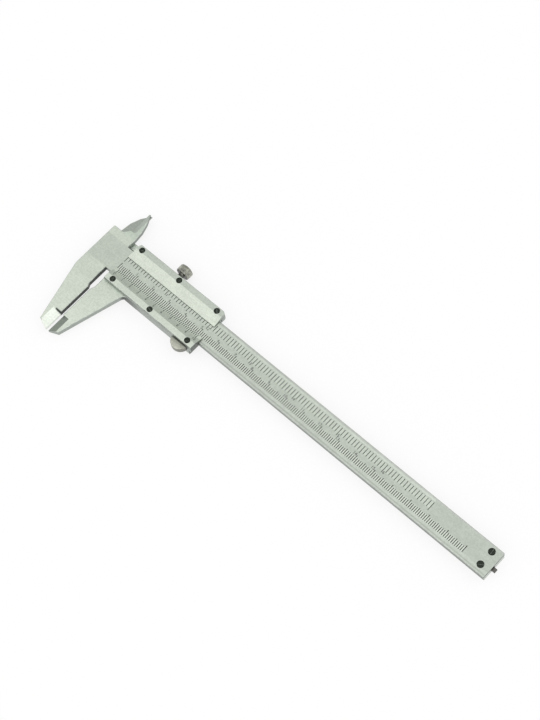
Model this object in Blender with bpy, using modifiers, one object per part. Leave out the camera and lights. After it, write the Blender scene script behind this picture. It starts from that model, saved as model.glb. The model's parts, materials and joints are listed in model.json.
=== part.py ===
"""Vernier caliper, 150 mm: a beam with fixed jaws, and a slider with vernier plates and a lock screw.

Lengths are in metres. The drawing's datum is the fixed outside jaw's measuring plane for X, the
beam's centreline for Y and the slider's back face for Z. The slider's own X starts at its measuring
plane, so both drawings share one X when the jaws are closed.
"""
import math

import bmesh
import bpy
from mathutils import Matrix

# Clearances and the opening at rest
RUNNING_GAP = 0.0003
SEAT_GAP = 0.0002
HOLE_GAP = 0.0002
OPENING = 0.0017

# Broken edges of the flat pieces
RIM = 0.00025
PLATE_RIM = 0.0002

# Beam and fixed head
BEAM_WIDTH = 0.0136
BEAM_THICKNESS = 0.0030
BEAM_REACH = 0.2173
BEAM_END_RADIUS = 0.0005
HEAD_WIDTH = 0.0128
HEAD_RISE = 0.0040
HEAD_CORNER = 0.0005
HEAD_SETBACK = 0.0001

# Outside jaws, lengths down from the beam's lower edge
JAW_REACH = 0.0385
JAW_TIP_SLANT = 0.0019
JAW_SHOULDER = 0.0070
JAW_SHOULDER_RADIUS = 0.0030
JAW_CORNER = 0.0005
RELIEF_DEPTH = 0.0008
RELIEF_LENGTH = 0.0102
RELIEF_RAMP = 0.0018
TIP_LENGTH = 0.0095
TIP_EDGE = 0.0016
FIXED_TIP_WIDTH = 0.0052
FIXED_TIP_BEVEL = 0.0044
SLIDING_JAW_ROOT = 0.0138
SLIDING_TIP_WIDTH = 0.0045
SLIDING_TIP_BEVEL = 0.0035
SLIDING_JAW_FILLET = 0.0028

# Inside blades, heights up from the beam's top edge
BLADE_SETBACK = 0.0053
BLADE_HEIGHT = 0.0185
BLADE_TIP_WIDTH = 0.0008
BLADE_EDGE_LAND = 0.0003
BLADE_BEVEL = 0.0028
BLADE_BEVEL_START = 0.0066
BLADE_RUNOUT = 0.0012
FIXED_BLADE_THICKNESS = 0.0022
FIXED_BLADE_STRAIGHT = 0.0042
FIXED_BLADE_ROOT = 0.0020
FIXED_BLADE_FILLET = 0.0010
SLIDING_BLADE_THICKNESS = 0.0018
SLIDING_BLADE_WIDTH = 0.0062
SLIDING_BLADE_STRAIGHT = 0.0048
SLIDING_BLADE_FILLET = 0.0020

# Slider channel
SLIDER_START = 0.0016
SLIDER_LENGTH = 0.0535
BACK_THICKNESS = 0.0028
BACK_SETBACK = 0.0017
RAIL_END_HEIGHT = 0.0023
RAIL_END_RADIUS = 0.0016
UPPER_RAIL = 0.0031
LOWER_RAIL = 0.0045
CHANNEL_EDGE = 0.0004

# Vernier plates
PLATE_THICKNESS = 0.0019
PLATE_EDGE = 0.00025
UPPER_FLAT = 0.0029
UPPER_COVER = 0.0037
LOWER_FLAT = 0.0030
LOWER_COVER = 0.0028
PLATE_END_ANGLE = math.radians(9.5)

# Slotted screws that hold the vernier plates and the end stop
PLATE_SCREW_COUNT = 3
PLATE_SCREW_MARGIN = 0.0037
UPPER_SCREW_INSET = 0.0019
LOWER_SCREW_INSET = 0.0020
PLATE_SCREW_HEAD = 0.0025
PLATE_SCREW_DEPTH = 0.0020
END_SCREW_HEAD = 0.0029
END_SCREW_INSET = 0.0045
END_SCREW_UPPER = 0.0039
END_SCREW_LOWER = -0.0032
HEAD_HEIGHT = 0.0009
HEAD_PROUD = 0.0001
HEAD_CHAMFER = 0.0002
SHANK_DIAMETER = 0.0014
SLOT_WIDTH = 0.0004
SLOT_DEPTH = 0.0004

# Gib leaf and its two dog-point screws
GIB_THICKNESS = 0.0005
GIB_MARGIN = 0.0024
GIB_TRIM = 0.0002
GIB_SCREW_MARGIN = 0.0090
GIB_SCREW_DIAMETER = 0.0018
GIB_SCREW_RECESS = 0.0004
DOG_DIAMETER = 0.0009
DOG_LENGTH = 0.0004

# Lock screw
LOCK_WALL = 0.0005
LOCK_SHANK = 0.0022
LOCK_NECK = 0.0028
LOCK_NECK_LENGTH = 0.0018
LOCK_HEAD = 0.0068
LOCK_HEAD_HEIGHT = 0.0035
LOCK_HEAD_CHAMFER = 0.0004
LOCK_CROWN = 0.0003
KNURL_TEETH = 36
KNURL_DEPTH = 0.00022
KNURL_VALLEY = 0.20
KNURL_RISE = 0.45
KNURL_CREST = 0.75

# Depth rod and the rivet at its root
ROD_OFFSET = -0.0008
ROD_WIDTH = 0.0018
ROD_THICKNESS = 0.0013
ROD_ROOT = 0.0344
ROD_STEP_LENGTH = 0.0040
ROD_STEP = 0.0004
RIVET_INSET = 0.0040
RIVET_HEAD = 0.0022
RIVET_HEAD_HEIGHT = 0.0006
RIVET_RECESS = 0.0001
RIVET_SHANK = 0.0008
GROOVE_MARGIN = 0.0010

# End stop on the beam's back
END_PLATE_LENGTH = 0.0088
END_PLATE_THICKNESS = 0.0012
END_PLATE_INSET = 0.0004

# Thumb rest under the lower rail
THUMB_INSET = 0.0069
THUMB_RADIUS = 0.0044
THUMB_REACH = 0.0037
THUMB_SETBACK = 0.0019
THUMB_THICKNESS = 0.0030
THUMB_EDGE = 0.0004
PIN_DIAMETER = 0.0014
PIN_DEPTH = 0.0015

# Smoothness of round shapes, welding distance, and how far a cutter runs past what it cuts
ARC_STEP = math.radians(15)
TURN_STEPS = 24
RIM_STEPS = 2
WELD = 0.000001
CUT_MARGIN = 0.0020
SHARP_ANGLE = math.radians(35)
FLAT_ANGLE = math.radians(0.5)

# Heights across the thickness
beam_back = BACK_THICKNESS + RUNNING_GAP
beam_face = beam_back + BEAM_THICKNESS
beam_middle = (beam_back + beam_face) / 2
front_blade_low = beam_face - FIXED_BLADE_THICKNESS
rear_blade_high = front_blade_low - RUNNING_GAP
rear_blade_low = rear_blade_high - SLIDING_BLADE_THICKNESS
plate_low = beam_face + RUNNING_GAP
plate_high = plate_low + PLATE_THICKNESS
rail_top = plate_low - SEAT_GAP
end_plate_high = beam_back - SEAT_GAP
rod_low = end_plate_high + RUNNING_GAP
rod_high = rod_low + ROD_THICKNESS

# Places across the beam
beam_top = BEAM_WIDTH / 2
pocket_floor = beam_top + RUNNING_GAP
gib_outer = beam_top + RUNNING_GAP + GIB_THICKNESS
upper_inner = gib_outer + SEAT_GAP
upper_outer = upper_inner + UPPER_RAIL
lower_inner = -beam_top - RUNNING_GAP
lower_outer = lower_inner - LOWER_RAIL
blade_tip = beam_top + BLADE_HEIGHT
jaw_tip = -beam_top - JAW_REACH
jaw_tip_outer = jaw_tip + JAW_TIP_SLANT
tip_shoulder = jaw_tip + TIP_LENGTH
relief_end = -beam_top - RELIEF_LENGTH

# Places along the slider
slider_end = SLIDER_START + SLIDER_LENGTH
gib_start = SLIDER_START + GIB_MARGIN
gib_end = slider_end - GIB_MARGIN
screw_span = SLIDER_LENGTH - 2 * PLATE_SCREW_MARGIN
screw_pitch = screw_span / (PLATE_SCREW_COUNT - 1)
screw_places = [SLIDER_START + PLATE_SCREW_MARGIN + i * screw_pitch for i in range(PLATE_SCREW_COUNT)]
gib_screw_places = [gib_start + GIB_SCREW_MARGIN, gib_end - GIB_SCREW_MARGIN]
shank_hole = SHANK_DIAMETER / 2 + HOLE_GAP
lock_hole = LOCK_SHANK / 2 + HOLE_GAP
lock_place = screw_places[PLATE_SCREW_COUNT // 2] - shank_hole - lock_hole - LOCK_WALL
rod_root = SLIDER_START + ROD_ROOT
rivet_place = rod_root + RIVET_INSET
thumb_place = slider_end - THUMB_INSET
thumb_high = plate_high - THUMB_SETBACK
thumb_low = thumb_high - THUMB_THICKNESS
thumb_seat = lower_outer - SEAT_GAP

# Axes that a flat outline is drawn on (u, v) and pushed along (w)
DRAWN_ON_XY = Matrix.Identity(3)
DRAWN_ON_YZ = Matrix(((0, 0, 1), (1, 0, 0), (0, 1, 0)))
DRAWN_ON_XZ = Matrix(((1, 0, 0), (0, 0, 1), (0, 1, 0)))
ALONG_Y = Matrix.Rotation(-math.pi / 2, 4, "X")


def new_collection(name):
    """An empty collection in the scene."""
    made = bpy.data.collections.new(name)
    bpy.context.scene.collection.children.link(made)
    return made


def metal(name, colour, roughness, metallic=1.0):
    """A Principled material for one kind of piece."""
    made = bpy.data.materials.new(name)
    made.use_nodes = True
    shader = made.node_tree.nodes["Principled BSDF"]
    shader.inputs["Base Color"].default_value = (*colour, 1.0)
    shader.inputs["Roughness"].default_value = roughness
    shader.inputs["Metallic"].default_value = metallic
    return made


def arc(centre, radius, start, end):
    """Points along a circular arc, both ends included."""
    steps = max(2, math.ceil(abs(end - start) / ARC_STEP))
    angles = [start + (end - start) * i / steps for i in range(steps + 1)]
    return [(centre[0] + radius * math.cos(a), centre[1] + radius * math.sin(a)) for a in angles]


def rounded(corners):
    """An outline from corners (x, y, radius), each corner with a radius turned into an arc."""
    outline = []
    count = len(corners)
    for i, (x, y, radius) in enumerate(corners):
        if radius <= 0:
            outline.append((x, y))
            continue
        before = corners[i - 1]
        after = corners[(i + 1) % count]
        to_before = math.atan2(before[1] - y, before[0] - x)
        to_after = math.atan2(after[1] - y, after[0] - x)
        turn = (to_after - to_before + math.pi) % (2 * math.pi) - math.pi
        reach = radius / math.tan(abs(turn) / 2)
        middle = to_before + turn / 2
        distance = radius / math.sin(abs(turn) / 2)
        centre = (x + distance * math.cos(middle), y + distance * math.sin(middle))
        first = (x + reach * math.cos(to_before), y + reach * math.sin(to_before))
        start = math.atan2(first[1] - centre[1], first[0] - centre[0])
        sweep = math.copysign(math.pi - abs(turn), -turn)
        outline.extend(arc(centre, radius, start, start + sweep))
    return outline


def closed(mesh):
    """Weld a mesh's loose caps and turn its faces outward."""
    work = bmesh.new()
    work.from_mesh(mesh)
    bmesh.ops.remove_doubles(work, verts=work.verts, dist=WELD)
    bmesh.ops.recalc_face_normals(work, faces=work.faces)
    work.to_mesh(mesh)
    work.free()
    return mesh


def evaluated_mesh(item):
    """The mesh of an object with its modifiers, after which the object is removed."""
    graph = bpy.context.evaluated_depsgraph_get()
    mesh = bpy.data.meshes.new_from_object(item.evaluated_get(graph))
    bpy.data.objects.remove(item)
    return mesh


def prism(outline, low, high, axes=DRAWN_ON_XY, origin=(0, 0, 0)):
    """A flat outline on the u and v axes, pushed along w from low to high."""
    curve = bpy.data.curves.new("outline", "CURVE")
    curve.dimensions = "2D"
    curve.fill_mode = "BOTH"
    curve.extrude = (high - low) / 2
    spline = curve.splines.new("POLY")
    spline.points.add(len(outline) - 1)
    for point, (u, v) in zip(spline.points, outline):
        point.co = (u, v, 0, 1)
    spline.use_cyclic_u = True
    flat = bpy.data.objects.new("outline", curve)
    cutters.objects.link(flat)
    mesh = evaluated_mesh(flat)
    mesh.transform(Matrix.Translation((0, 0, (low + high) / 2)))
    mesh.transform(Matrix.Translation(origin) @ axes.to_4x4())
    return closed(mesh)


def broken_rims(mesh):
    """Break the edges of a flat piece's front and back faces."""
    work = bmesh.new()
    work.from_mesh(mesh)
    bmesh.ops.dissolve_limit(work, angle_limit=FLAT_ANGLE, verts=work.verts, edges=work.edges)
    weight = work.edges.layers.float.new("bevel_weight_edge")
    for line in work.edges:
        flats = [face for face in line.link_faces if abs(face.normal.z) > math.cos(FLAT_ANGLE)]
        line[weight] = 1.0 if len(flats) == 1 else 0.0
    work.to_mesh(mesh)
    work.free()
    blank = bpy.data.objects.new("blank", mesh)
    cutters.objects.link(blank)
    rims = blank.modifiers.new("rims", "BEVEL")
    rims.width = RIM
    rims.segments = 1
    rims.limit_method = "WEIGHT"
    rims.use_clamp_overlap = False
    return evaluated_mesh(blank)


def block(low, high):
    """A box between two corners."""
    outline = [(low[0], low[1]), (high[0], low[1]), (high[0], high[1]), (low[0], high[1])]
    return prism(outline, low[2], high[2])


def turned(profile, place=Matrix.Identity(4)):
    """A profile of (radius, height) points, top to bottom, turned about Z and then placed."""
    mesh = bpy.data.meshes.new("profile")
    points = [(radius, 0, height) for radius, height in profile]
    mesh.from_pydata(points, [(i, i + 1) for i in range(len(points) - 1)], [])
    blank = bpy.data.objects.new("profile", mesh)
    cutters.objects.link(blank)
    screw = blank.modifiers.new("turn", "SCREW")
    screw.steps = TURN_STEPS
    screw.render_steps = TURN_STEPS
    screw.use_merge_vertices = True
    screw.merge_threshold = WELD
    made = evaluated_mesh(blank)
    made.transform(place)
    return closed(made)


def cylinder(radius, low, high, place=Matrix.Identity(4)):
    """A round bar about Z between two heights, then placed."""
    return turned([(0, high), (radius, high), (radius, low), (0, low)], place)


def together(meshes):
    """Several separate shapes as one mesh, for a cutter that makes several holes."""
    work = bmesh.new()
    for mesh in meshes:
        work.from_mesh(mesh)
    made = bpy.data.meshes.new("together")
    work.to_mesh(made)
    work.free()
    return made


def add_part(name, mesh, parent, material, place=Matrix.Identity(4)):
    """A named sub-part, held by its datum."""
    made = bpy.data.objects.new(name, mesh)
    if not mesh.materials:
        mesh.materials.append(material)
    caliper.objects.link(made)
    made.parent = parent
    made.matrix_local = place
    return made


def combine(target, name, mesh, operation):
    """Join a shape to a sub-part, cut it away or keep what both share."""
    tool = bpy.data.objects.new(target.name + "_" + name, mesh)
    cutters.objects.link(tool)
    tool.parent = target.parent
    tool.matrix_local = target.matrix_local
    tool.hide_render = True
    tool.display_type = "WIRE"
    modifier = target.modifiers.new(name, "BOOLEAN")
    modifier.operation = operation
    modifier.solver = "EXACT"
    modifier.object = tool


def settle(item):
    """Apply a sub-part's modifiers and shade its round faces smooth, with its true edges sharp."""
    graph = bpy.context.evaluated_depsgraph_get()
    if item.modifiers:
        item.data = bpy.data.meshes.new_from_object(item.evaluated_get(graph))
        item.modifiers.clear()
    item.data.shade_smooth()
    item.data.set_sharp_from_angle(angle=SHARP_ANGLE)


def blade_contour(edge, width, straight, side):
    """An inside blade's rounded back, from its straight root up to its tip."""
    rise = blade_tip - straight
    drop = width - BLADE_TIP_WIDTH
    radius = (rise ** 2 + drop ** 2) / (2 * drop)
    sweep = math.asin(rise / radius)
    curve = arc((width - radius, straight), radius, 0, sweep)
    return [(edge + side * u, v) for u, v in curve]


def ground_bevel(ridge, height, direction, width, drop, low, high, runout):
    """Cutter for a ground face that falls from a ridge by drop over width, between two Y places.

    The ridge runs along Y at the given X and height. direction is +1 or -1 along X. A positive
    drop cuts the front of a piece, a negative one its back. runout rounds the corner at low.
    """
    slope = math.atan2(abs(drop), width)
    up = math.copysign(1, drop)
    along = (direction * math.cos(slope), 0, -up * math.sin(slope))
    away = (direction * math.sin(slope), 0, up * math.cos(slope))
    axes = Matrix((along, (0, 1, 0), away)).transposed()
    length = math.hypot(width, drop) + CUT_MARGIN
    outline = rounded([(0, low, runout), (length, low, 0), (length, high, 0), (0, high, 0)])
    return prism(outline, 0, abs(drop) + CUT_MARGIN, axes, (ridge, 0, height))


def slotted_screw(head, depth):
    """A cheese-head screw about Z with its head's underside at zero and a slot across its top."""
    radius = head / 2
    shank = SHANK_DIAMETER / 2
    profile = [
        (0, HEAD_HEIGHT),
        (radius - HEAD_CHAMFER, HEAD_HEIGHT),
        (radius, HEAD_HEIGHT - HEAD_CHAMFER),
        (radius, 0),
        (shank, 0),
        (shank, -depth),
        (0, -depth),
    ]
    return slotted(turned(profile), head, HEAD_HEIGHT)


def slotted(mesh, width, top):
    """Cut a screwdriver slot across the top of a screw."""
    blank = bpy.data.objects.new("screw", mesh)
    cutters.objects.link(blank)
    low = (-width, -SLOT_WIDTH / 2, top - SLOT_DEPTH)
    high = (width, SLOT_WIDTH / 2, top + CUT_MARGIN)
    slot = bpy.data.objects.new("slot", block(low, high))
    cutters.objects.link(slot)
    modifier = blank.modifiers.new("slot", "BOOLEAN")
    modifier.operation = "DIFFERENCE"
    modifier.solver = "EXACT"
    modifier.object = slot
    made = evaluated_mesh(blank)
    bpy.data.objects.remove(slot)
    return made


def screw_seat(head, depth, place):
    """The stepped hole that a slotted screw sits in, from above its head to below its point."""
    head_hole = head / 2 + HOLE_GAP
    profile = [
        (0, HEAD_HEIGHT + CUT_MARGIN),
        (head_hole, HEAD_HEIGHT + CUT_MARGIN),
        (head_hole, -SEAT_GAP),
        (shank_hole, -SEAT_GAP),
        (shank_hole, -depth - HOLE_GAP),
        (0, -depth - HOLE_GAP),
    ]
    return turned(profile, place)


def plate_screw_seats(y):
    """Where the screws of one vernier plate sit: the underside of each head."""
    height = plate_high + HEAD_PROUD - HEAD_HEIGHT
    return [Matrix.Translation((x, y, height)) for x in screw_places]


def plate_screw_depth():
    """A plate screw's length below its head."""
    return plate_high + HEAD_PROUD - HEAD_HEIGHT - rail_top + PLATE_SCREW_DEPTH


def end_screw_seats():
    """Where the two end screws sit in the beam's face."""
    height = beam_face + HEAD_PROUD - HEAD_HEIGHT
    x = BEAM_REACH - END_SCREW_INSET
    return [Matrix.Translation((x, y, height)) for y in (END_SCREW_UPPER, END_SCREW_LOWER)]


def end_screw_depth():
    """An end screw's length below its head, to just inside the end plate's back."""
    head_under = beam_face + HEAD_PROUD - HEAD_HEIGHT
    return head_under - end_plate_high + END_PLATE_THICKNESS - SEAT_GAP


def make_main_beam():
    """Beam, fixed head, fixed outside jaw and front inside blade from one flat outline."""
    head_top = beam_top + HEAD_RISE
    blade_edge = -BLADE_SETBACK
    blade_width = BLADE_SETBACK - HEAD_SETBACK
    straight = beam_top + FIXED_BLADE_STRAIGHT
    bevel_start = beam_top + BLADE_BEVEL_START
    lower_part = rounded([
        (blade_edge, bevel_start, 0),
        (blade_edge - FIXED_BLADE_ROOT, head_top, FIXED_BLADE_FILLET),
        (-HEAD_WIDTH, head_top, HEAD_CORNER),
        (-HEAD_WIDTH, -beam_top - JAW_SHOULDER, JAW_SHOULDER_RADIUS),
        (-FIXED_TIP_WIDTH, jaw_tip_outer, JAW_CORNER),
        (0, jaw_tip, 0),
        (0, relief_end - RELIEF_RAMP, 0),
        (-RELIEF_DEPTH, relief_end, 0),
        (-RELIEF_DEPTH, -beam_top, 0),
        (BEAM_REACH, -beam_top, BEAM_END_RADIUS),
        (BEAM_REACH, beam_top, BEAM_END_RADIUS),
        (-HEAD_SETBACK, beam_top, 0),
    ])
    contour = blade_contour(blade_edge, blade_width, straight, 1)
    outline = lower_part + contour + [(blade_edge, blade_tip)]
    mesh = broken_rims(prism(outline, beam_back, beam_face))
    beam = add_part("main_beam", mesh, beam_datum, beam_steel)

    pocket_low = (-HEAD_WIDTH - CUT_MARGIN, pocket_floor, beam_back - CUT_MARGIN)
    pocket_high = (-HEAD_SETBACK + CUT_MARGIN, blade_tip + CUT_MARGIN, front_blade_low)
    combine(beam, "blade_pocket", block(pocket_low, pocket_high), "DIFFERENCE")

    blade_drop = FIXED_BLADE_THICKNESS - BLADE_EDGE_LAND
    blade_bevel = ground_bevel(blade_edge + BLADE_BEVEL, beam_face, -1, BLADE_BEVEL, blade_drop,
                               bevel_start, blade_tip + CUT_MARGIN, BLADE_RUNOUT)
    combine(beam, "blade_bevel", blade_bevel, "DIFFERENCE")

    tip_drop = BEAM_THICKNESS - TIP_EDGE
    tip_bevel = ground_bevel(-FIXED_TIP_BEVEL, beam_face, 1, FIXED_TIP_BEVEL, tip_drop,
                             jaw_tip - CUT_MARGIN, tip_shoulder, 0)
    combine(beam, "tip_bevel", tip_bevel, "DIFFERENCE")

    groove_half = ROD_WIDTH / 2 + RUNNING_GAP
    groove_low = (rod_root - GROOVE_MARGIN, ROD_OFFSET - groove_half, beam_back - CUT_MARGIN)
    groove_high = (BEAM_REACH + CUT_MARGIN, ROD_OFFSET + groove_half, rod_high + RUNNING_GAP)
    combine(beam, "rod_groove", block(groove_low, groove_high), "DIFFERENCE")

    seats = [screw_seat(END_SCREW_HEAD, end_screw_depth(), place) for place in end_screw_seats()]
    combine(beam, "end_screw_seats", together(seats), "DIFFERENCE")


def make_end_stop():
    """Plate on the beam's back that closes the rod's groove, and its two screws."""
    half_width = beam_top - END_PLATE_INSET
    low = (BEAM_REACH - END_PLATE_LENGTH, -half_width, end_plate_high - END_PLATE_THICKNESS)
    high = (BEAM_REACH, half_width, end_plate_high)
    mesh = broken_rims(block(low, high))
    plate = add_part("end_stop_plate", mesh, beam_datum, end_plate_steel)
    holes = []
    for place in end_screw_seats():
        spot = Matrix.Translation((place.translation.x, place.translation.y, 0))
        holes.append(cylinder(shank_hole, low[2] - CUT_MARGIN, high[2] + CUT_MARGIN, spot))
    combine(plate, "screw_holes", together(holes), "DIFFERENCE")

    screw = slotted_screw(END_SCREW_HEAD, end_screw_depth())
    for number, place in enumerate(end_screw_seats(), start=1):
        add_part(f"end_stop_screw_{number}", screw, beam_datum, end_screw_black, place)


def make_slider_body():
    """Channel round the beam, with the sliding outside jaw and the rear inside blade."""
    channel = rounded([
        (lower_outer, 0, CHANNEL_EDGE),
        (upper_outer, 0, CHANNEL_EDGE),
        (upper_outer, rail_top, 0),
        (upper_inner, rail_top, 0),
        (upper_inner, BACK_THICKNESS, 0),
        (lower_inner, BACK_THICKNESS, 0),
        (lower_inner, rail_top, 0),
        (lower_outer, rail_top, 0),
    ])
    mesh = prism(channel, SLIDER_START, slider_end, DRAWN_ON_YZ)
    body = add_part("slider_body", mesh, slider_datum, slider_steel)

    combine(body, "outside_jaw", sliding_jaw(), "UNION")
    combine(body, "inside_blade", sliding_blade(), "UNION")

    step_low = (slider_end - BACK_SETBACK, lower_outer - CUT_MARGIN, -CUT_MARGIN)
    step_high = (slider_end + CUT_MARGIN, upper_outer + CUT_MARGIN, rail_top - RAIL_END_HEIGHT)
    combine(body, "back_setback", block(step_low, step_high), "DIFFERENCE")
    combine(body, "rail_corner", rail_corner(), "DIFFERENCE")

    tip_drop = BEAM_THICKNESS - TIP_EDGE
    tip_bevel = ground_bevel(SLIDING_TIP_BEVEL, beam_face, -1, SLIDING_TIP_BEVEL, tip_drop,
                             jaw_tip - CUT_MARGIN, tip_shoulder, 0)
    combine(body, "tip_bevel", tip_bevel, "DIFFERENCE")

    blade_drop = SLIDING_BLADE_THICKNESS - BLADE_EDGE_LAND
    blade_bevel = ground_bevel(-BLADE_SETBACK - BLADE_BEVEL, rear_blade_low, 1, BLADE_BEVEL, -blade_drop,
                               beam_top + BLADE_BEVEL_START, blade_tip + CUT_MARGIN, BLADE_RUNOUT)
    combine(body, "blade_bevel", blade_bevel, "DIFFERENCE")

    seats = []
    for y in (upper_outer - UPPER_SCREW_INSET, lower_outer + LOWER_SCREW_INSET):
        for place in plate_screw_seats(y):
            seats.append(screw_seat(PLATE_SCREW_HEAD, plate_screw_depth(), place))
    combine(body, "plate_screw_holes", together(seats), "DIFFERENCE")

    rail_holes = [rail_hole(lock_place, lock_hole)]
    for x in gib_screw_places:
        rail_holes.append(rail_hole(x, GIB_SCREW_DIAMETER / 2 + HOLE_GAP))
    combine(body, "upper_rail_holes", together(rail_holes), "DIFFERENCE")

    rivet_head = RIVET_HEAD / 2 + HOLE_GAP
    rivet_hole = RIVET_SHANK / 2 + HOLE_GAP
    seat_height = RIVET_RECESS + RIVET_HEAD_HEIGHT + SEAT_GAP
    rivet_seat = [
        (0, BACK_THICKNESS + SEAT_GAP),
        (rivet_hole, BACK_THICKNESS + SEAT_GAP),
        (rivet_hole, seat_height),
        (rivet_head, seat_height),
        (rivet_head, -CUT_MARGIN),
        (0, -CUT_MARGIN),
    ]
    spot = Matrix.Translation((rivet_place, ROD_OFFSET, 0))
    combine(body, "rivet_seat", turned(rivet_seat, spot), "DIFFERENCE")
    combine(body, "thumb_pin_hole", thumb_pin_hole(), "DIFFERENCE")


def sliding_jaw():
    """The sliding outside jaw, with its root inside the lower rail."""
    inside_rail = (lower_inner + lower_outer) / 2
    root = rounded([
        (RELIEF_DEPTH, lower_inner - RUNNING_GAP, 0),
        (RELIEF_DEPTH, relief_end, 0),
        (0, relief_end - RELIEF_RAMP, 0),
        (0, jaw_tip, 0),
        (SLIDING_TIP_WIDTH, jaw_tip_outer, JAW_CORNER),
        (SLIDING_JAW_ROOT, lower_outer, SLIDING_JAW_FILLET),
        (slider_end, lower_outer, 0),
    ])[:-1]
    last = root[-1]
    outline = root + [(last[0], inside_rail), (SLIDING_JAW_ROOT, lower_inner - RUNNING_GAP)]
    return broken_rims(prism(outline, beam_back, beam_face))


def sliding_blade():
    """The rear inside blade on its arm, which passes behind the fixed head to the upper rail."""
    edge = -BLADE_SETBACK
    arm_low = pocket_floor + RUNNING_GAP
    arm_high = upper_outer - SEAT_GAP
    arm_end = gib_start - 2 * RUNNING_GAP
    back = edge - SLIDING_BLADE_WIDTH
    straight = beam_top + SLIDING_BLADE_STRAIGHT
    contour = blade_contour(edge, SLIDING_BLADE_WIDTH, straight, -1)
    arm = rounded([
        (edge, blade_tip, 0),
        (edge, arm_high, SLIDING_BLADE_FILLET),
        (arm_end, arm_high, 0),
        (arm_end, arm_low, 0),
        (back, arm_low, 0),
    ])
    return broken_rims(prism(arm + contour, rear_blade_low, rear_blade_high))


def rail_corner():
    """Cutter that rounds the upper rail's far corner, on the rail and on its plate."""
    centre = (slider_end - RAIL_END_RADIUS, upper_outer - RAIL_END_RADIUS)
    curve = arc(centre, RAIL_END_RADIUS, 0, math.pi / 2)
    past = CUT_MARGIN
    outline = [
        (slider_end + past, curve[0][1]),
        *curve,
        (curve[-1][0], upper_outer + past),
        (slider_end + past, upper_outer + past),
    ]
    return prism(outline, -past, plate_high + past)


def leaning_end():
    """Cutter for the upper plate's near end, which leans away from the jaws towards its outer edge."""
    past = CUT_MARGIN
    low = beam_top - UPPER_COVER - past
    high = upper_outer + past
    lean = math.tan(PLATE_END_ANGLE) * (high - low)
    outline = [
        (SLIDER_START - past, low),
        (SLIDER_START, low),
        (SLIDER_START + lean, high),
        (SLIDER_START - past, high),
    ]
    return prism(outline, plate_low - past, plate_high + past)


def rail_hole(x, radius):
    """A hole across the upper rail at the beam's mid height."""
    place = Matrix.Translation((x, 0, beam_middle)) @ ALONG_Y
    short_of_gib = upper_inner - SEAT_GAP / 2
    return cylinder(radius, short_of_gib, upper_outer + CUT_MARGIN, place)


def make_vernier_plates():
    """The two bevelled plates on the rails, and the slotted screws that hold them."""
    upper = [
        (upper_outer, plate_low),
        (upper_outer, plate_high - PLATE_RIM),
        (upper_outer - PLATE_RIM, plate_high),
        (upper_outer - UPPER_FLAT, plate_high),
        (beam_top - UPPER_COVER, plate_low + PLATE_EDGE),
        (beam_top - UPPER_COVER, plate_low),
    ]
    lower = [
        (lower_outer, plate_low),
        (lower_outer, plate_high - PLATE_RIM),
        (lower_outer + PLATE_RIM, plate_high),
        (lower_outer + LOWER_FLAT, plate_high),
        (LOWER_COVER - beam_top, plate_low + PLATE_EDGE),
        (LOWER_COVER - beam_top, plate_low),
    ]
    screw = slotted_screw(PLATE_SCREW_HEAD, plate_screw_depth())
    sides = [
        ("upper", upper, upper_outer - UPPER_SCREW_INSET, upper_plate_steel),
        ("lower", lower, lower_outer + LOWER_SCREW_INSET, lower_plate_steel),
    ]
    for side, profile, screw_line, material in sides:
        mesh = prism(profile, SLIDER_START, slider_end, DRAWN_ON_YZ)
        plate = add_part(f"{side}_vernier_plate", mesh, slider_datum, material)
        if side == "upper":
            combine(plate, "corner", rail_corner(), "DIFFERENCE")
            combine(plate, "leaning_end", leaning_end(), "DIFFERENCE")
        places = plate_screw_seats(screw_line)
        seats = [screw_seat(PLATE_SCREW_HEAD, plate_screw_depth(), place) for place in places]
        combine(plate, "screw_seats", together(seats), "DIFFERENCE")
        for number, place in enumerate(places, start=1):
            add_part(f"{side}_plate_screw_{number}", screw, slider_datum, plate_screw_black, place)


def make_gib():
    """The leaf between the upper rail and the beam, and its two dog-point screws."""
    low = (gib_start, gib_outer - GIB_THICKNESS, beam_back + GIB_TRIM)
    high = (gib_end, gib_outer, beam_face - GIB_TRIM)
    gib = add_part("gib_strip", block(low, high), slider_datum, gib_bronze)
    dog = DOG_DIAMETER / 2
    holes = []
    for x in gib_screw_places:
        place = Matrix.Translation((x, 0, beam_middle)) @ ALONG_Y
        holes.append(cylinder(dog + HOLE_GAP, low[1] - CUT_MARGIN, high[1] + CUT_MARGIN, place))
    combine(gib, "dog_holes", together(holes), "DIFFERENCE")

    radius = GIB_SCREW_DIAMETER / 2
    shoulder = gib_outer + SEAT_GAP
    top = upper_outer - GIB_SCREW_RECESS - shoulder
    profile = [
        (0, top),
        (radius, top),
        (radius, 0),
        (dog, 0),
        (dog, -SEAT_GAP - DOG_LENGTH),
        (0, -SEAT_GAP - DOG_LENGTH),
    ]
    screw = slotted(turned(profile), GIB_SCREW_DIAMETER, top)
    for number, x in enumerate(gib_screw_places, start=1):
        place = Matrix.Translation((x, shoulder, beam_middle)) @ ALONG_Y
        add_part(f"gib_screw_{number}", screw, slider_datum, gib_screw_steel, place)


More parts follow.
